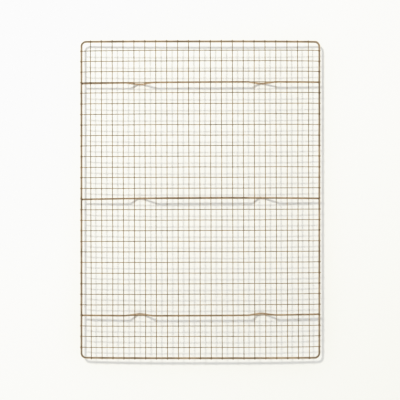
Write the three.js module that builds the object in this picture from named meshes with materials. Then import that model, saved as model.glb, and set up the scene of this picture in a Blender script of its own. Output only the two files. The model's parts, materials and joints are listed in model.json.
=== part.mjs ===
import * as THREE from 'three';

// A cooling rack of welded round wire, in millimetres. X runs across the rack, Y along its long
// side, Z up. The origin is under the middle of the rack, on the surface it stands on.
// From the ground up: a border wire with three leg wires level with it, then the lengthwise
// mesh wires on top of both, then the crosswise mesh wires on top of those.

// Border wire: a rounded rectangle, measured between wire centres. It is made as four
// lengths that meet in the middle of the corners.
const FRAME_WIDTH = 303;
const FRAME_LENGTH = 402.2;
const FRAME_WIRE = 2.7;
const CORNER_RADIUS = 6;
const CORNER_STEPS = 3;
const CORNER_SEAM = 0.04;
const CORNER_LIP = 0.05;

// Leg wires, each with two feet bent down into it
const LEG_WIRE = 2.5;
const FOOT_X = 78;
const FOOT_FLAT = 3;
const FOOT_SLOPE = THREE.MathUtils.degToRad(44);
const BOTTOM_BEND = 5;
const TOP_BEND = 5;
const BEND_STEPS = 4;
const LEG_END_GAP = 0.3;

// How far each leg wire strays from the line of the crosswise wire that it is welded under,
// at its left end, its middle and its right end
const LEG_STRAY = {
  leg_wire_front: [-0.6, -0.6, 0.8],
  leg_wire_middle: [-1.0, 1.1, 0.4],
  leg_wire_rear: [-1.4, 0.2, 0.5],
};

// Mesh panel. It is welded on a little off the middle of the border.
const MESH_WIRE = 1.05;
const LONG_COUNT = 21;
const LONG_PITCH = 13.85;
const LONG_SHIFT = -0.65;
const CROSS_COUNT = 29;
const CROSS_PITCH = 13.44;
const CROSS_SHIFT = 1.4;
const CROSS_OVER_LEGS = [3, 14, 25];
const END_OVERHANG = 0.5;

// The top is flat along its middle and bows down to both long sides
const HEIGHT = 19;
const FLAT_HALF_WIDTH = 41;
const BOW = 3;

// Room left between wires that are welded in contact
const WELD_GAP = 0.02;
const CROSSING_GAP = 0.06;

// Sides of the polygon that stands for a round wire, a flat on top
const THICK_SIDES = 8;
const MESH_SIDES = 6;

// Heights of the wire centres, where the top is flat
const CROSS_Z = HEIGHT - MESH_WIRE / 2;
const LONG_Z = CROSS_Z - MESH_WIRE - CROSSING_GAP;
const LEG_Z = LONG_Z - (MESH_WIRE + LEG_WIRE) / 2 - WELD_GAP;
const FRAME_Z = LONG_Z - (MESH_WIRE + FRAME_WIRE) / 2 - WELD_GAP;

const HALF_WIDTH = FRAME_WIDTH / 2;
const HALF_LENGTH = FRAME_LENGTH / 2;

// How far the top has bowed down at x
function drop(x) {
  const out = Math.max(Math.abs(x) - FLAT_HALF_WIDTH, 0) / (HALF_WIDTH - FLAT_HALF_WIDTH);
  return BOW * out * out;
}

function longX(index) {
  return LONG_SHIFT + (index - (LONG_COUNT - 1) / 2) * LONG_PITCH;
}

function crossY(index) {
  return CROSS_SHIFT + (index - (CROSS_COUNT - 1) / 2) * CROSS_PITCH;
}

// Where a wire that follows the bow changes direction: over every second lengthwise wire
function bowStations() {
  const middle = (LONG_COUNT - 1) / 2;
  const stations = [];
  for (let index = 0; index < LONG_COUNT; index += 1) {
    const fromMiddle = Math.abs(index - middle);
    if (fromMiddle === middle || (fromMiddle > 2 && fromMiddle % 2 === 1)) {
      stations.push(longX(index));
    }
  }
  return stations;
}

// A centre line through given points, with one section of the wire at each of them
class WireLine extends THREE.Curve {
  constructor(points) {
    super();
    this.points = points;
  }

  getPoint(t) {
    const last = this.points.length - 1;
    const place = THREE.MathUtils.clamp(t, 0, 1) * last;
    const index = Math.min(Math.floor(place), last - 1);
    return this.points[index].clone().lerp(this.points[index + 1], place - index);
  }

  getUtoTmapping(u) {
    return u;
  }
}

// The section of a round wire: a polygon drawn round it
function wireSection(diameter, sides) {
  const radius = diameter / 2 / Math.cos(Math.PI / sides);
  const corners = [];
  for (let side = 0; side < sides; side += 1) {
    const angle = ((side + 0.5) / sides) * 2 * Math.PI;
    corners.push(new THREE.Vector2(radius * Math.cos(angle), radius * Math.sin(angle)));
  }
  return new THREE.Shape(corners);
}

function sweepWire(points, diameter, sides) {
  return new THREE.ExtrudeGeometry(wireSection(diameter, sides), {
    steps: points.length - 1,
    extrudePath: new WireLine(points),
    bevelEnabled: false,
  });
}

// Each piece is steel wire with the same champagne-coloured plating
function plating() {
  return new THREE.MeshStandardMaterial({ color: '#b5946f', roughness: 0.32, metalness: 1 });
}

function wirePiece(name, geometry) {
  const mesh = new THREE.Mesh(geometry, plating());
  mesh.name = name;
  return mesh;
}

// Half of a corner's bend, from a straight length to the seam: how far it goes on along that
// length, and how far it turns in from it. A short lip before the seam squares the wire's end.
function halfCorner() {
  const seam = Math.PI / 4 - CORNER_SEAM / CORNER_RADIUS;
  const angles = [];
  for (let step = 0; step < CORNER_STEPS; step += 1) {
    angles.push((step / CORNER_STEPS) * seam);
  }
  angles.push(seam - CORNER_LIP / CORNER_RADIUS, seam);
  return angles.map((angle) => ({
    on: CORNER_RADIUS * Math.sin(angle),
    turned: CORNER_RADIUS * (1 - Math.cos(angle)),
  }));
}

// A long side of the border, with half a corner at each end: -1 is the left one and 1 the right
function borderSide(name, side) {
  const straight = HALF_LENGTH - CORNER_RADIUS;
  const rear = halfCorner().map(({ on, turned }) => {
    const x = HALF_WIDTH - turned;
    return new THREE.Vector3(side * x, straight + on, FRAME_Z - drop(x));
  });
  const front = rear.map((point) => new THREE.Vector3(point.x, -point.y, point.z));
  return wirePiece(name, sweepWire([...front.reverse(), ...rear], FRAME_WIRE, THICK_SIDES));
}

// A short end of the border, which bows like the mesh: -1 is the front one and 1 the rear
function borderEnd(name, end) {
  const straight = HALF_WIDTH - CORNER_RADIUS;
  const right = halfCorner().map(({ on, turned }) => {
    const x = straight + on;
    return new THREE.Vector3(x, end * (HALF_LENGTH - turned), FRAME_Z - drop(x));
  });
  const left = right.map((point) => new THREE.Vector3(-point.x, point.y, point.z));
  const along = (x) => new THREE.Vector3(x, end * HALF_LENGTH, FRAME_Z - drop(x));
  const points = [...left.reverse(), ...bowStations().map(along), ...right];
  return wirePiece(name, sweepWire(points, FRAME_WIRE, THICK_SIDES));
}

// Half of a foot's centre line, from the middle of the foot out to the level run of the wire
function halfFoot(runHeight) {
  const ground = LEG_WIRE / 2;
  const bendRise = (BOTTOM_BEND + TOP_BEND) * (1 - Math.cos(FOOT_SLOPE));
  const straight = (runHeight - ground - bendRise) / Math.sin(FOOT_SLOPE);
  const bendRun = (BOTTOM_BEND + TOP_BEND) * Math.sin(FOOT_SLOPE);
  const outerX = FOOT_FLAT / 2 + bendRun + straight * Math.cos(FOOT_SLOPE);
  const points = [];
  for (let step = 0; step <= BEND_STEPS; step += 1) {
    const angle = (step / BEND_STEPS) * FOOT_SLOPE;
    const x = FOOT_FLAT / 2 + BOTTOM_BEND * Math.sin(angle);
    points.push(new THREE.Vector2(x, ground + BOTTOM_BEND * (1 - Math.cos(angle))));
  }
  for (let step = BEND_STEPS; step >= 0; step -= 1) {
    const angle = (step / BEND_STEPS) * FOOT_SLOPE;
    const x = outerX - TOP_BEND * Math.sin(angle);
    points.push(new THREE.Vector2(x, runHeight - TOP_BEND * (1 - Math.cos(angle))));
  }
  return points;
}

// Leg wire: it follows the bow of the top, with a foot on each side of the middle
function legWire(name, y) {
  const footReach = halfFoot(LEG_Z).at(-1).x;
  const outerHalf = halfFoot(LEG_Z - drop(FOOT_X + footReach));
  const innerHalf = halfFoot(LEG_Z - drop(FOOT_X - footReach));
  const leftOf = (half) => half.map((point) => new THREE.Vector2(-point.x, point.y)).reverse();
  const shifted = (points, x) => points.map((point) => new THREE.Vector2(x + point.x, point.y));
  const run = (stations) => stations.map((x) => new THREE.Vector2(x, LEG_Z - drop(x)));
  const end = HALF_WIDTH - FRAME_WIRE / 2 - LEG_END_GAP;
  const outside = (x) => Math.abs(x) > FOOT_X + footReach;
  const inside = (x) => Math.abs(x) < FOOT_X - footReach;
  const stations = bowStations();
  const profile = [
    ...run([-end, ...stations.filter((x) => x < 0 && outside(x))]),
    ...shifted([...leftOf(outerHalf), ...innerHalf], -FOOT_X),
    ...run(stations.filter(inside)),
    ...shifted([...leftOf(innerHalf), ...outerHalf], FOOT_X),
    ...run([...stations.filter((x) => x > 0 && outside(x)), end]),
  ];
  const [left, middle, right] = LEG_STRAY[name];
  const strayAt = (x) => {
    const across = x / HALF_WIDTH;
    return middle + ((right - left) / 2) * across + ((left + right) / 2 - middle) * across ** 2;
  };
  const points = profile.map((point) => new THREE.Vector3(point.x, y + strayAt(point.x), point.y));
  return wirePiece(name, sweepWire(points, LEG_WIRE, THICK_SIDES));
}

// Lengthwise mesh wire: straight, from the front side of the border to the rear side
function longWire(index) {
  const x = longX(index);
  const z = LONG_Z - drop(x);
  const reach = HALF_LENGTH + FRAME_WIRE / 2 + END_OVERHANG;
  const points = [new THREE.Vector3(x, -reach, z), new THREE.Vector3(x, reach, z)];
  const name = `long_wire_${String(index + 1).padStart(2, '0')}`;
  return wirePiece(name, sweepWire(points, MESH_WIRE, MESH_SIDES));
}

// Crosswise mesh wire: it lies on the lengthwise wires, and its ends are set down on the border
function crossWire(index) {
  const y = crossY(index);
  const endZ = FRAME_Z - BOW + (FRAME_WIRE + MESH_WIRE) / 2 + WELD_GAP;
  const setDown = HALF_WIDTH - FRAME_WIRE / 2;
  const end = HALF_WIDTH + FRAME_WIRE / 2 + END_OVERHANG;
  const points = [
    new THREE.Vector3(-end, y, endZ),
    new THREE.Vector3(-setDown, y, endZ),
    ...bowStations().map((x) => new THREE.Vector3(x, y, CROSS_Z - drop(x))),
    new THREE.Vector3(setDown, y, endZ),
    new THREE.Vector3(end, y, endZ),
  ];
  const name = `cross_wire_${String(index + 1).padStart(2, '0')}`;
  return wirePiece(name, sweepWire(points, MESH_WIRE, MESH_SIDES));
}

function coolingRack() {
  const rack = new THREE.Group();
  rack.add(borderSide('border_left', -1));
  rack.add(borderSide('border_right', 1));
  rack.add(borderEnd('border_front', -1));
  rack.add(borderEnd('border_rear', 1));
  Object.keys(LEG_STRAY).forEach((name, row) => {
    rack.add(legWire(name, crossY(CROSS_OVER_LEGS[row])));
  });
  for (let index = 0; index < LONG_COUNT; index += 1) {
    rack.add(longWire(index));
  }
  for (let index = 0; index < CROSS_COUNT; index += 1) {
    rack.add(crossWire(index));
  }
  return rack;
}

export default coolingRack();
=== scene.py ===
import math
import random

import bpy
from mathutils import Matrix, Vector, noise
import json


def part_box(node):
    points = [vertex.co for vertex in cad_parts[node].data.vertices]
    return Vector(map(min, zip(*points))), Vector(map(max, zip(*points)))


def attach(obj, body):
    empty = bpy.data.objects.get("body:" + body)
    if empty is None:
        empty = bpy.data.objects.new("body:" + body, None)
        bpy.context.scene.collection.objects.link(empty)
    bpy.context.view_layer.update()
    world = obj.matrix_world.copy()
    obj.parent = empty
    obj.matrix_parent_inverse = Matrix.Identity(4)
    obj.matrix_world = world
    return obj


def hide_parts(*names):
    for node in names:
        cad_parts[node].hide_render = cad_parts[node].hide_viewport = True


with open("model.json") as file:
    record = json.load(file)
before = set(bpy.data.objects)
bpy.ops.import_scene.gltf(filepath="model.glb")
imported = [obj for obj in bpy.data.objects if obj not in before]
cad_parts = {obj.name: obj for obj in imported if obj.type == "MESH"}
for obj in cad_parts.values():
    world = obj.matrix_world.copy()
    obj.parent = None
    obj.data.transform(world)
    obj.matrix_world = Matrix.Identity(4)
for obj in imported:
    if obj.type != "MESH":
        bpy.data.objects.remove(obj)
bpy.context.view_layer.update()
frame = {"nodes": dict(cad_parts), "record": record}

# ---------------------------------------------------------------------------------------------
# Border wire: one thick drawn steel wire, bent round four corners and butt-welded into a ring.
# It carries the mesh, and its short ends are bowed with it. The champagne plating went on last.
# ---------------------------------------------------------------------------------------------

MM = 0.001
left_low, left_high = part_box("border_left")
rear_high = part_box("border_rear")[1]
BORDER_RADIUS = (left_high.z - left_low.z) / 2
BORDER_CORNER = 6 * MM
CORNER_STEPS = 12
PATH_STEP = 3 * MM
HALF_WIDTH = -left_low.x - BORDER_RADIUS
HALF_LENGTH = rear_high.y - BORDER_RADIUS
BORDER_SIDE_Z = left_low.z + BORDER_RADIUS
BORDER_MIDDLE_Z = rear_high.z - BORDER_RADIUS

# The rack is level along its middle, and sags towards both long sides of the border
LEVEL_HALF_WIDTH = 41 * MM
SAG = BORDER_MIDDLE_Z - BORDER_SIDE_Z


def sag_at(x):
    out = max(abs(x) - LEVEL_HALF_WIDTH, 0) / (HALF_WIDTH - LEVEL_HALF_WIDTH)
    return SAG * out * out


def evenly(start, end, step):
    """Places from start to end, about one step apart."""
    count = max(round(abs(end - start) / step), 1)
    return [start + (end - start) * place / count for place in range(count + 1)]


def nearness(point, spots, reach):
    """1 at the nearest of the spots, falling to 0 at their reach."""
    nearest = min(((point - spot).length for spot in spots), default=reach)
    return max(1 - nearest / reach, 0)


class Wire:
    """A round drawn wire that follows a path of points. Each ring of its skin can be fuller or
    thinner than the last. Two things are kept with each point for its finish: where it lies
    in the drawn grain (across, across and along, in mm), and how much painted shade it takes,
    near a weld as contact shade and at spots on the feet as painted shadow. Each wire's grain
    starts far from the last one's."""

    made = 0
    grain_apart = 997.0
    # How far and how dark the painted contact shade round each weld reaches
    weld_shade_radii = 2.6
    least_weld_shade = 1.8 * MM
    # Strength and spread of the painted shadow spots on the feet
    shadow_spot_strength = 1.5
    shadow_spot_spread = 1.2

    def __init__(self, name, path, radius, sides=14, ring=False, fullness=None, welds=(), shadow_spots=()):
        Wire.made += 1
        self.name = name
        self.path = path
        self.radius = radius
        self.sides = sides
        self.ring = ring
        self.fullness = fullness or [1.0] * len(path)
        self.welds = welds
        self.shadow_spots = shadow_spots
        self.shade_reach = max(self.weld_shade_radii * radius, self.least_weld_shade)

    def direction(self, place):
        last = len(self.path) - 1
        before = self.path[place - 1] if self.ring or place > 0 else self.path[0]
        after = self.path[(place + 1) % (last + 1)] if self.ring or place < last else self.path[last]
        return (after - before).normalized()

    def skin(self):
        points = []
        grain = []
        heat = []
        along = self.grain_apart * Wire.made
        for place, centre in enumerate(self.path):
            if place > 0:
                along += (centre - self.path[place - 1]).length / MM
            run = self.direction(place)
            across = run.cross(Vector((0, 0, 1))).normalized()
            rise = across.cross(run)
            radius = self.radius * self.fullness[place]
            for side in range(self.sides):
                turn = 2 * math.pi * side / self.sides
                outward = across * math.cos(turn) + rise * math.sin(turn)
                point = centre + outward * radius
                points.append(point)
                grain.append((math.cos(turn) * radius / MM, math.sin(turn) * radius / MM, along))
                # Painted shade: contact shade near each weld, and painted shadow at spots on the feet
                at_weld = nearness(point, self.welds, self.shade_reach)
                at_shadow_spot = nearness(point, self.shadow_spots, self.shadow_spot_spread * self.shade_reach)
                heat.append(max(at_weld, at_shadow_spot * self.shadow_spot_strength))
        return points, grain, heat

    def faces(self):
        rings = len(self.path)
        quads = []
        for place in range(rings if self.ring else rings - 1):
            here = place * self.sides
            there = (place + 1) % rings * self.sides
            for side in range(self.sides):
                turned = (side + 1) % self.sides
                quads.append((here + side, there + side, there + turned, here + turned))
        if not self.ring:
            last = (rings - 1) * self.sides
            quads.append(tuple(range(self.sides)))
            quads.append(tuple(last + side for side in reversed(range(self.sides))))
        return quads

    def build(self, material):
        points, grain, heat = self.skin()
        return skinned(self.name, points, self.faces(), grain, heat, material)


def skinned(name, points, faces, grain, heat, material):
    """A smooth-shaded mesh object that rides on the rack."""
    mesh = bpy.data.meshes.new(name)
    mesh.from_pydata(points, [], faces)
    mesh.attributes.new("grain", "FLOAT_VECTOR", "POINT").data.foreach_set(
        "vector", [value for place in grain for value in place])
    mesh.attributes.new("heat", "FLOAT", "POINT").data.foreach_set("value", heat)
    for face in mesh.polygons:
        face.use_smooth = len(face.vertices) <= 4
    mesh.materials.append(material)
    piece = bpy.data.objects.new(name, mesh)
    bpy.context.scene.collection.objects.link(piece)
    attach(piece, "root")
    return piece


class Shade:
    """One output of a shader node. Sums of Shades add Math nodes, and node() adds any other."""

    def __init__(self, tree, socket=None):
        self.tree = tree
        self.socket = socket

    def node(self, kind, settings, inputs, output=0):
        added = self.tree.nodes.new("ShaderNode" + kind)
        for name, value in settings.items():
            setattr(added, name, value)
        for name, value in inputs.items():
            if isinstance(value, Shade):
                self.tree.links.new(value.socket, added.inputs[name])
            else:
                added.inputs[name].default_value = value
        return Shade(self.tree, added.outputs[output] if added.outputs else None)

    def maths(self, operation, first, second):
        return self.node("Math", {"operation": operation}, {0: first, 1: second})

    def __add__(self, other):
        return self.maths("ADD", self, other)

    def __sub__(self, other):
        return self.maths("SUBTRACT", self, other)

    def __rsub__(self, other):
        return self.maths("SUBTRACT", other, self)

    def __mul__(self, other):
        return self.maths("MULTIPLY", self, other)

    __radd__ = __add__
    __rmul__ = __mul__

    def attribute(self, name, output="Fac"):
        return self.node("Attribute", {"attribute_name": name}, {}, output)

    def stretched(self, vector, scale):
        return self.node("VectorMath", {"operation": "MULTIPLY"}, {0: vector, 1: scale})

    def speckle(self, vector, scale=1.0, detail=2.0):
        inputs = {"Vector": vector, "Scale": scale, "Detail": detail}
        return self.node("TexNoise", {"noise_dimensions": "3D"}, inputs)

    def banded(self, value, low, high):
        """value spread from 0 at low to 1 at high, and held there."""
        return self.node("MapRange", {}, {0: value, 1: low, 2: high, 3: 0.0, 4: 1.0})

    def blend(self, amount, first, second):
        settings = {"data_type": "RGBA"}
        return self.node("Mix", settings, {0: amount, 6: first, 7: second}, 2)


# How fast each pattern of the plating changes, per mm: across the wire both ways, and along it
STREAK_SCALE = (11.0, 11.0, 0.10)
CLOUD_SCALE = (0.35, 0.35, 0.06)
DRIFT_SCALE = (0.02, 0.02, 0.011)
PIT_SCALE = 3.1

# What the patterns do to the colour, the roughness and the surface of the plating
NOISE_MIDDLE = 0.5
CLOUD_SHARE = 0.55
PIT_TINT = 0.5
TINT_STRENGTH = 0.82
STREAK_ROUGHNESS = 0.12
WELD_ROUGHNESS = 0.16
PIT_ROUGHNESS = 0.1
STREAK_HEIGHT = 0.6
BUMP_STRENGTH = 0.35
BUMP_DEPTH = 0.04 * MM


def plated_steel(name, bright, dull, streak_and_shade, roughness, streak, dent):
    """Champagne plating on drawn steel wire: fine streaks along the wire from the die, cloudy
    plating that is paler where it is thick, painted contact shade round each weld and painted
    shadow at spots on the feet, and shallow dents."""
    material = bpy.data.materials.new(name)
    material.use_nodes = True
    tree = material.node_tree
    tree.nodes.clear()
    metal = Shade(tree)
    grain = metal.attribute("grain", "Vector")
    # Mask of painted shade: contact shade round welds and shadow spots on the feet
    heat = metal.attribute("heat")
    streaks = metal.speckle(metal.stretched(grain, STREAK_SCALE), detail=3.0)
    clouds = metal.speckle(metal.stretched(grain, CLOUD_SCALE))
    pits = metal.speckle(grain, PIT_SCALE)
    drift = metal.speckle(metal.stretched(grain, DRIFT_SCALE), detail=1.0)
    thin = metal.banded(clouds * CLOUD_SHARE + drift * (1 - CLOUD_SHARE), low=0.40, high=0.60)
    plating = metal.blend(thin, (*bright, 1), (*dull, 1))
    streaky = metal.banded(streaks, low=0.42, high=0.66) * streak
    streaked = metal.blend(streaky, plating, (*streak_and_shade, 1))
    uneven = pits - NOISE_MIDDLE
    # Painted shade darkens the plating round welds and at foot spots; random pits add to it
    tint = metal.banded(heat + uneven * PIT_TINT, low=0.1, high=0.8) * TINT_STRENGTH
    colour = metal.blend(tint, streaked, (*streak_and_shade, 1))
    rough = roughness + (streaks - NOISE_MIDDLE) * STREAK_ROUGHNESS
    rough = rough + heat * WELD_ROUGHNESS + uneven * PIT_ROUGHNESS
    height = streaks * STREAK_HEIGHT + pits * dent
    bump_inputs = {"Height": height, "Strength": BUMP_STRENGTH, "Distance": BUMP_DEPTH}
    bump = metal.node("Bump", {}, bump_inputs)
    surface = metal.node("BsdfPrincipled", {}, {
        "Base Color": colour,
        "Metallic": 1.0,
        "Roughness": rough,
        "Normal": bump,
    })
    metal.node("OutputMaterial", {}, {"Surface": surface})
    return material


border_plating = plated_steel(
    "border_plating", bright=(0.56, 0.412, 0.28), dull=(0.32, 0.245, 0.168),
    streak_and_shade=(0.16, 0.10, 0.06), roughness=0.30, streak=0.16, dent=0.5)


def ring_of_border():
    """Centre line of the border, from the middle of its rear end round through its corners."""
    straight_x = HALF_WIDTH - BORDER_CORNER
    straight_y = HALF_LENGTH - BORDER_CORNER
    quarters = [(1, 1, 90), (1, -1, 0), (-1, -1, -90), (-1, 1, 180)]
    outline = [(x, HALF_LENGTH) for x in evenly(0, straight_x, PATH_STEP)[:-1]]
    for right, rear, start in quarters:
        for step in range(CORNER_STEPS + 1):
            angle = math.radians(start - 90 * step / CORNER_STEPS)
            x = right * straight_x + BORDER_CORNER * math.cos(angle)
            y = rear * straight_y + BORDER_CORNER * math.sin(angle)
            outline.append((x, y))
        if right == 1 and rear == 1:
            outline += [(HALF_WIDTH, y) for y in evenly(straight_y, -straight_y, PATH_STEP)[1:-1]]
        elif right == 1:
            outline += [(x, -HALF_LENGTH) for x in evenly(straight_x, -straight_x, PATH_STEP)[1:-1]]
        elif rear == -1:
            outline += [(-HALF_WIDTH, y) for y in evenly(-straight_y, straight_y, PATH_STEP)[1:-1]]
        else:
            outline += [(x, HALF_LENGTH) for x in evenly(-straight_x, 0, PATH_STEP)[1:-1]]
    return [Vector((x, y, BORDER_MIDDLE_Z - sag_at(x))) for x, y in outline]


# Where the mesh wires cross the border, from the places of their own solids
LONG_NAMES = sorted(name for name in frame["nodes"] if name.startswith("long_wire"))
CROSS_NAMES = sorted(name for name in frame["nodes"] if name.startswith("cross_wire"))


def middle_of(node):
    low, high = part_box(node)
    return (low + high) / 2


LONG_X = [middle_of(name).x for name in LONG_NAMES]
CROSS_Y = [middle_of(name).y for name in CROSS_NAMES]

border_top = BORDER_RADIUS * Vector((0, 0, 1))
border_welds = [Vector((side * HALF_WIDTH, y, BORDER_SIDE_Z)) + border_top
                for side in (-1, 1) for y in CROSS_Y]
border_welds += [Vector((x, end * HALF_LENGTH, BORDER_MIDDLE_Z - sag_at(x))) + border_top
                 for end in (-1, 1) for x in LONG_X]
border_path = ring_of_border()
BUTT_WELD_REACH = 1.6 * MM
BUTT_WELD_SWELL = 0.05
butt_weld = border_path[0]
border_fullness = [1 + BUTT_WELD_SWELL * nearness(point, [butt_weld], BUTT_WELD_REACH)
                   for point in border_path]
border_wire = Wire("border_wire", border_path, BORDER_RADIUS, sides=28, ring=True,
                   fullness=border_fullness, welds=border_welds + [butt_weld]).build(border_plating)
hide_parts("border_left", "border_right", "border_front", "border_rear")

# ---------------------------------------------------------------------------------------------
# Leg wires: three bars of slightly thinner wire that hold the mesh up from the table. Each is
# pressed into two feet in a bending jig, laid level with the border, and welded to it at its ends.
# ---------------------------------------------------------------------------------------------

# The bars are a hair thinner than in the CAD, by as much as its feet reach below the table
LEG_HALF_THICKNESS = 1.25 * MM
LEG_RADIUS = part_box("leg_wire_middle")[0].z + LEG_HALF_THICKNESS
FOOT_FLAT = 1.6 * MM
FOOT_SLOPE = math.radians(44)
FOOT_BEND = 5 * MM
BEND_STEPS = 9
LEG_WELD_MARGIN = 1 * MM
LONG_LOW_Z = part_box("long_wire_11")[0].z
LONG_MIDDLE_Z = middle_of("long_wire_11").z
LEG_MIDDLE_Z = LONG_LOW_Z - LEG_RADIUS

# Each bar runs under one crosswise wire, and strays from it by so much at its left end, in its
# middle and at its right end
LEG_ROWS = {
    "leg_wire_front": (CROSS_Y[3], -0.6 * MM, -0.6 * MM, 0.8 * MM),
    "leg_wire_middle": (CROSS_Y[14], -1.0 * MM, 1.1 * MM, 0.4 * MM),
    "leg_wire_rear": (CROSS_Y[25], -1.4 * MM, 0.2 * MM, 0.5 * MM),
}
FOOT_X = max(mount["pos_m"][0] for mount in frame["record"]["mounts"])

leg_plating = plated_steel(
    "leg_plating", bright=(0.60, 0.43, 0.295), dull=(0.36, 0.262, 0.18),
    streak_and_shade=(0.07, 0.042, 0.028), roughness=0.30, streak=0.16, dent=0.7)


def half_foot(run_z):
    """Half of a foot from its middle outwards: a bend up from the ground, a slope, a bend over."""
    rise = run_z - LEG_RADIUS
    bend_rise = 2 * FOOT_BEND * (1 - math.cos(FOOT_SLOPE))
    bend_run = 2 * FOOT_BEND * math.sin(FOOT_SLOPE)
    slope_run = (rise - bend_rise) / math.tan(FOOT_SLOPE)
    reach = FOOT_FLAT / 2 + bend_run + slope_run
    half = []
    for step in range(BEND_STEPS + 1):
        angle = FOOT_SLOPE * step / BEND_STEPS
        half.append((FOOT_FLAT / 2 + FOOT_BEND * math.sin(angle),
                     LEG_RADIUS + FOOT_BEND * (1 - math.cos(angle))))
    slope_x, slope_z = half[-1]
    for part in (0.25, 0.5, 0.75):
        half.append((slope_x + slope_run * part, slope_z + (rise - bend_rise) * part))
    for step in range(BEND_STEPS, -1, -1):
        angle = FOOT_SLOPE * step / BEND_STEPS
        half.append((reach - FOOT_BEND * math.sin(angle), run_z - FOOT_BEND * (1 - math.cos(angle))))
    return half


FOOT_REACH = half_foot(LEG_MIDDLE_Z)[-1][0]


def leg_profile():
    """Right half of a leg bar, from the middle of the rack to the border, as (x, z)."""
    inner = half_foot(LEG_MIDDLE_Z - sag_at(FOOT_X - FOOT_REACH))
    outer = half_foot(LEG_MIDDLE_Z - sag_at(FOOT_X + FOOT_REACH))
    end = HALF_WIDTH - BORDER_RADIUS
    profile = [(x, LEG_MIDDLE_Z - sag_at(x)) for x in evenly(0, FOOT_X - FOOT_REACH, PATH_STEP)[:-1]]
    profile += [(FOOT_X - x, z) for x, z in reversed(inner)]
    profile += [(FOOT_X + x, z) for x, z in outer]
    profile += [(x, LEG_MIDDLE_Z - sag_at(x)) for x in evenly(FOOT_X + FOOT_REACH, end, PATH_STEP)[1:]]
    return profile


right_half = leg_profile()
whole_leg = [(-x, z) for x, z in reversed(right_half[1:])] + right_half


def leg_path(row):
    base_y, left, middle, right = LEG_ROWS[row]
    path = []
    for x, z in whole_leg:
        across = x / HALF_WIDTH
        stray = middle + (right - left) / 2 * across + ((left + right) / 2 - middle) * across ** 2
        path.append(Vector((x, base_y + stray, z)))
    return path


leg_paths = {row: leg_path(row) for row in LEG_ROWS}


def along_path(path, place, axis):
    """The point of a wire's path that is nearest to a place along it."""
    return min(path, key=lambda point: abs(point[axis] - place))


def leg_y(row, x):
    return along_path(leg_paths[row], x, 0).y


def foot_shadow_spots(path):
    """Spots at the bends and on the slopes of each foot, painted dark as shadow."""
    at_bend = half_foot(LEG_MIDDLE_Z)[BEND_STEPS - 1][0]
    on_slope = half_foot(LEG_MIDDLE_Z)[BEND_STEPS + 2][0]
    bends = []
    for side in (-1, 1):
        for out in (at_bend, on_slope):
            for turn in (-1, 1):
                bends.append(along_path(path, side * FOOT_X + turn * out, 0))
    return bends


LEG_WELD_X = [x for x in LONG_X if abs(abs(x) - FOOT_X) > FOOT_REACH - LEG_WELD_MARGIN]
for row, path in leg_paths.items():
    crossings = [Vector((x, leg_y(row, x), LEG_MIDDLE_Z - sag_at(x) + LEG_RADIUS)) for x in LEG_WELD_X]
    # Each foot gets painted shadow spots at its bends and slopes
    leg_bar = Wire(row + "_bar", path, LEG_RADIUS, sides=24,
                   welds=crossings + [path[0], path[-1]], shadow_spots=foot_shadow_spots(path)).build(leg_plating)
    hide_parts(row)

# ---------------------------------------------------------------------------------------------
# Lengthwise mesh wires: 21 thin straight wires laid over the leg bars and over both ends of the
# border. Their cut ends stand just proud of it. No wire is dead straight or at its exact pitch.
# ---------------------------------------------------------------------------------------------

random.seed(29)
MESH_RADIUS = 0.57 * MM
ASKEW = math.radians(0.16)
LONG_PITCH_ERROR = 0.10 * MM
WELD_SINK = 0.12 * MM
WANDER = 0.22 * MM
LONG_WAVE = 60 * MM
LONG_SEED_STEP = 3.1
LONG_CUT_SHORT = 0.35 * MM
LONG_STEP = 3.4 * MM
SHEARED_FULLNESS = 0.82
SHEARED_LENGTH = 0.18 * MM
EVEN_FROM_END = 1 * MM

mesh_plating = plated_steel(
    "mesh_plating", bright=(0.46, 0.315, 0.175), dull=(0.20, 0.142, 0.078),
    streak_and_shade=(0.14, 0.08, 0.04), roughness=0.34, streak=0.45, dent=0.6)


def wander(place, seed, wave):
    """A slow stray from the straight line, for a wire that came off a coil."""
    return WANDER * noise.noise(Vector((place / wave, seed, 0.5)))


def along_wire(start, end, step):
    """Places along a cut wire, with one close to each of its sheared ends."""
    inner = evenly(start + EVEN_FROM_END, end - EVEN_FROM_END, step)
    return [start, start + SHEARED_LENGTH] + inner + [end - SHEARED_LENGTH, end]


def sheared_ends(path):
    """The fullness of each ring of a cut wire, which is pinched a little at its ends."""
    return [SHEARED_FULLNESS] + [1.0] * (len(path) - 2) + [SHEARED_FULLNESS]


long_paths = []
for index, name in enumerate(LONG_NAMES):
    low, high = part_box(name)
    x = LONG_X[index] + random.uniform(-1, 1) * LONG_PITCH_ERROR
    z = (low.z + high.z) / 2
    start = low.y + random.uniform(0, LONG_CUT_SHORT)
    end = high.y - random.uniform(0, LONG_CUT_SHORT)
    path = [Vector((x - y * ASKEW + wander(y, LONG_SEED_STEP * index, LONG_WAVE), y, z))
            for y in along_wire(start, end, LONG_STEP)]
    long_paths.append(path)
    over = [Vector((x - y * ASKEW, y, z + MESH_RADIUS)) for y in CROSS_Y]
    over += [Vector((x, leg_y(row, x), z - MESH_RADIUS)) for row in LEG_ROWS]
    over += [Vector((x, end_y * HALF_LENGTH, z - MESH_RADIUS)) for end_y in (-1, 1)]
    over += [path[0], path[-1]]
    rod = Wire(name + "_rod", path, MESH_RADIUS, fullness=sheared_ends(path),
               welds=over).build(mesh_plating)
    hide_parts(name)

# ---------------------------------------------------------------------------------------------
# Crosswise mesh wires: 29 thin wires laid over the lengthwise ones and resistance-welded at
# every crossing. They take the sag of the rack, and their ends are pressed down onto the border.
# ---------------------------------------------------------------------------------------------

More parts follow.
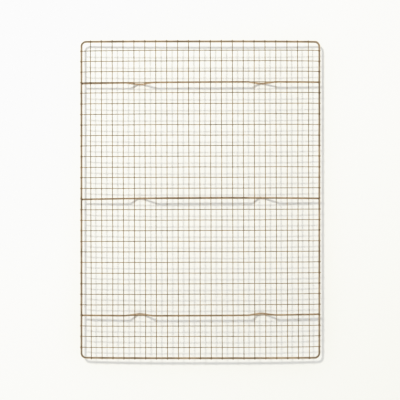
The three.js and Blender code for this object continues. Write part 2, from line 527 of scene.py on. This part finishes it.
CROSS_PITCH_ERROR = 0.25 * MM
CROSS_WAVE = 50 * MM
CROSS_FIRST_SEED = 50
CROSS_SEED_STEP = 7.7
CROSS_CUT_SHORT = 0.4 * MM
CROSS_STEP = 2.3 * MM
CROSS_MIDDLE_Z = LONG_MIDDLE_Z + 2 * MESH_RADIUS - WELD_SINK
CROSS_END_Z = BORDER_SIDE_Z + BORDER_RADIUS + MESH_RADIUS - WELD_SINK


def cross_height(x):
    """Height of a crosswise wire: over the sagging mesh, then eased down to the border."""
    last_long = max(abs(LONG_X[0]), abs(LONG_X[-1]))
    set_down = HALF_WIDTH - BORDER_RADIUS / 2
    over_mesh = CROSS_MIDDLE_Z - sag_at(min(abs(x), last_long))
    eased = min(max((abs(x) - last_long) / (set_down - last_long), 0), 1)
    eased = eased * eased * (3 - 2 * eased)
    return over_mesh + (CROSS_END_Z - over_mesh) * eased


cross_paths = []
for index, name in enumerate(CROSS_NAMES):
    low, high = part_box(name)
    y = CROSS_Y[index] + random.uniform(-1, 1) * CROSS_PITCH_ERROR
    start = low.x + random.uniform(0, CROSS_CUT_SHORT)
    end = high.x - random.uniform(0, CROSS_CUT_SHORT)
    seed = CROSS_FIRST_SEED + CROSS_SEED_STEP * index
    path = [Vector((x, y + x * ASKEW + wander(x, seed, CROSS_WAVE), cross_height(x)))
            for x in along_wire(start, end, CROSS_STEP)]
    cross_paths.append(path)
    over = [Vector((x, y + x * ASKEW, cross_height(x) - MESH_RADIUS))
            for x in LONG_X + [-HALF_WIDTH, HALF_WIDTH]] + [path[0], path[-1]]
    rod = Wire(name + "_rod", path, MESH_RADIUS, fullness=sheared_ends(path),
               welds=over).build(mesh_plating)
    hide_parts(name)

# ---------------------------------------------------------------------------------------------
# Welds: where two wires were squeezed together hot, metal was pushed out into a small collar
# between them. The collars and the wire round them are painted dark brown as contact shade.
# ---------------------------------------------------------------------------------------------

# The collars' dark browns are painted contact shade between the wires
weld_plating = plated_steel(
    "weld_plating", bright=(0.19, 0.14, 0.09), dull=(0.12, 0.085, 0.055),
    streak_and_shade=(0.085, 0.058, 0.036), roughness=0.42, streak=0.3, dent=1.0)
LUMPINESS = 0.1
WELD_PAINTED_SHADE = 0.6


def bead(centre, half_size, turns=10, bands=6):
    """An uneven lump of weld metal: its points, faces, grain and heat."""
    points = [centre - Vector((0, 0, half_size[2]))]
    for band in range(1, bands):
        slope = math.pi * band / bands - math.pi / 2
        for turn in range(turns):
            angle = 2 * math.pi * turn / turns
            lump = 1 + random.uniform(-LUMPINESS, LUMPINESS)
            points.append(centre + Vector((
                half_size[0] * lump * math.cos(slope) * math.cos(angle),
                half_size[1] * lump * math.cos(slope) * math.sin(angle),
                half_size[2] * math.sin(slope))))
    points.append(centre + Vector((0, 0, half_size[2])))
    top = len(points) - 1
    faces = []
    for turn in range(turns):
        beside = (turn + 1) % turns
        faces.append((0, 1 + beside, 1 + turn))
        faces.append((top, top - turns + turn, top - turns + beside))
        for band in range(bands - 2):
            here = 1 + band * turns
            faces.append((here + turn, here + beside, here + turns + beside, here + turns + turn))
    grain = [tuple(point / MM) for point in points]
    heat = [WELD_PAINTED_SHADE] * len(points)
    return points, faces, grain, heat


def weld_row(name, places, half_size):
    """One piece that holds all the weld collars along one wire."""
    points = []
    faces = []
    grain = []
    heat = []
    for place in places:
        bead_points, bead_faces, bead_grain, bead_painted_shade = bead(place, half_size)
        first = len(points)
        points += bead_points
        faces += [tuple(first + corner for corner in face) for face in bead_faces]
        grain += bead_grain
        heat += bead_painted_shade
    row = skinned(name, points, faces, grain, heat, weld_plating)
    return row


# Half sizes of the collars: where mesh wires cross, on the sides of the border, on its ends and
# on the leg bars, and where a leg bar butts against the border
MESH_COLLAR = (0.74 * MM, 0.74 * MM, 0.34 * MM)
SIDE_COLLAR = (0.95 * MM, 1.25 * MM, 0.46 * MM)
END_COLLAR = (1.25 * MM, 0.95 * MM, 0.46 * MM)
LEG_END_COLLAR = (0.7 * MM, 1.5 * MM, 1.45 * MM)
for index, y in enumerate(CROSS_Y):
    path = cross_paths[index]
    collars = []
    for column, x in enumerate(LONG_X):
        across = along_path(path, x, 0)
        down = along_path(long_paths[column], y, 1)
        collars.append(Vector((down.x, across.y, (across.z + down.z) / 2)))
    weld_row(f"mesh_welds_{index + 1:02d}", collars, MESH_COLLAR)

side_welds = []
for index, y in enumerate(CROSS_Y):
    for side in (-1, 1):
        wire_y = along_path(cross_paths[index], side * HALF_WIDTH, 0).y
        side_welds.append(Vector((side * HALF_WIDTH, wire_y, BORDER_SIDE_Z + BORDER_RADIUS)))
weld_row("border_side_welds", side_welds, SIDE_COLLAR)

end_welds = []
for column, x in enumerate(LONG_X):
    for end in (-1, 1):
        wire_x = along_path(long_paths[column], end * HALF_LENGTH, 1).x
        height = BORDER_MIDDLE_Z - sag_at(x) + BORDER_RADIUS
        end_welds.append(Vector((wire_x, end * HALF_LENGTH, height)))
weld_row("border_end_welds", end_welds, END_COLLAR)

for row in LEG_ROWS:
    joints = []
    for x in LEG_WELD_X:
        joints.append(Vector((x, leg_y(row, x), LEG_MIDDLE_Z - sag_at(x) + LEG_RADIUS)))
    weld_row(row + "_welds", joints, END_COLLAR)
    butts = [leg_paths[row][0], leg_paths[row][-1]]
    weld_row(row + "_end_welds", butts, LEG_END_COLLAR)

# ---------------------------------------------------------------------------------------------
# Studio: a white table that runs out of sight, one small warm lamp high at the rear left, and
# soft light from all round that is dimmer overhead, where the camera hangs, and low down.
# ---------------------------------------------------------------------------------------------

TABLE_HALF = 30.0
TABLE_WHITE = (0.88, 0.88, 0.875)
table_mesh = bpy.data.meshes.new("table")
table_corners = [(-TABLE_HALF, -TABLE_HALF, 0), (TABLE_HALF, -TABLE_HALF, 0),
                 (TABLE_HALF, TABLE_HALF, 0), (-TABLE_HALF, TABLE_HALF, 0)]
table_mesh.from_pydata(table_corners, [], [(0, 1, 2, 3)])
table = bpy.data.objects.new("table", table_mesh)
bpy.context.scene.collection.objects.link(table)
white_top = bpy.data.materials.new("white_top")
white_top.use_nodes = True
white_top.node_tree.nodes.clear()
top_shade = Shade(white_top.node_tree)
top_surface = top_shade.node("BsdfPrincipled", {}, {
    "Base Color": (*TABLE_WHITE, 1), "Roughness": 0.7, "Specular IOR Level": 0.2})
top_shade.node("OutputMaterial", {}, {"Surface": top_surface})
table_mesh.materials.append(white_top)

LAMP_COLOUR = (1.0, 0.965, 0.80)
LAMP_WIDTH = 0.16
LAMP_POWER = 16.5
LAMP_PLACE = (-0.49, 0.592, 1.25)
lamp_data = bpy.data.lights.new("lamp", "AREA")
lamp_data.shape = "DISK"
lamp_data.size = LAMP_WIDTH
lamp_data.energy = LAMP_POWER
lamp_data.color = LAMP_COLOUR
lamp = bpy.data.objects.new("lamp", lamp_data)
lamp.location = LAMP_PLACE
lamp.rotation_euler = (-lamp.location).to_track_quat("-Z", "Y").to_euler()
lamp.visible_glossy = False
bpy.context.scene.collection.objects.link(lamp)

ROOM_COLOUR = (0.99, 1.0, 0.965)
ROOM_OVERHEAD = 0.20
ROOM_AROUND = 1.04
ROOM_LOW = 0.55
room = bpy.data.worlds.new("room")
room.use_nodes = True
room.node_tree.nodes.clear()
air = Shade(room.node_tree)
way = air.node("TexCoord", {}, {}, "Generated")
up = air.node("SeparateXYZ", {}, {"Vector": way}, "Z")
around = 1 - air.banded(up, low=0.62, high=0.92)
above_low = air.banded(up, low=0.04, high=0.36)
glow = (ROOM_OVERHEAD + around * (ROOM_AROUND - ROOM_OVERHEAD)) * above_low
glow = glow + (1 - above_low) * ROOM_LOW
lit_air = air.node("Background", {}, {"Color": (*ROOM_COLOUR, 1), "Strength": glow})
air.node("OutputWorld", {}, {"Surface": lit_air})
bpy.context.scene.world = room

CAMERA_HEIGHT = 0.9875
MESH_HEIGHT = 17.5 * MM
VIEW_WIDTH = 0.5068
SENSOR_WIDTH = 36
camera_data = bpy.data.cameras.new("camera")
camera_data.sensor_width = SENSOR_WIDTH
camera_data.lens = SENSOR_WIDTH * (CAMERA_HEIGHT - MESH_HEIGHT) / VIEW_WIDTH
camera = bpy.data.objects.new("camera", camera_data)
camera.location = (-0.5 * MM, -0.25 * MM, CAMERA_HEIGHT)
bpy.context.scene.collection.objects.link(camera)
bpy.context.scene.camera = camera
bpy.context.scene.view_settings.view_transform = "Standard"

# The white table is lit past white, and its brightest tones are eased into a soft off-white
BRIGHTEST = 1.15
EASED_FROM = 0.90
SOFT_WHITE = 0.965
bpy.context.scene.view_settings.use_curve_mapping = True
tones = bpy.context.scene.view_settings.curve_mapping
tones.white_level = (BRIGHTEST, BRIGHTEST, BRIGHTEST)
tones.extend = "HORIZONTAL"
tone_points = tones.curves[3].points
tone_points[1].location = (1.0, SOFT_WHITE)
tone_points.new(EASED_FROM / BRIGHTEST, EASED_FROM)
tones.update()
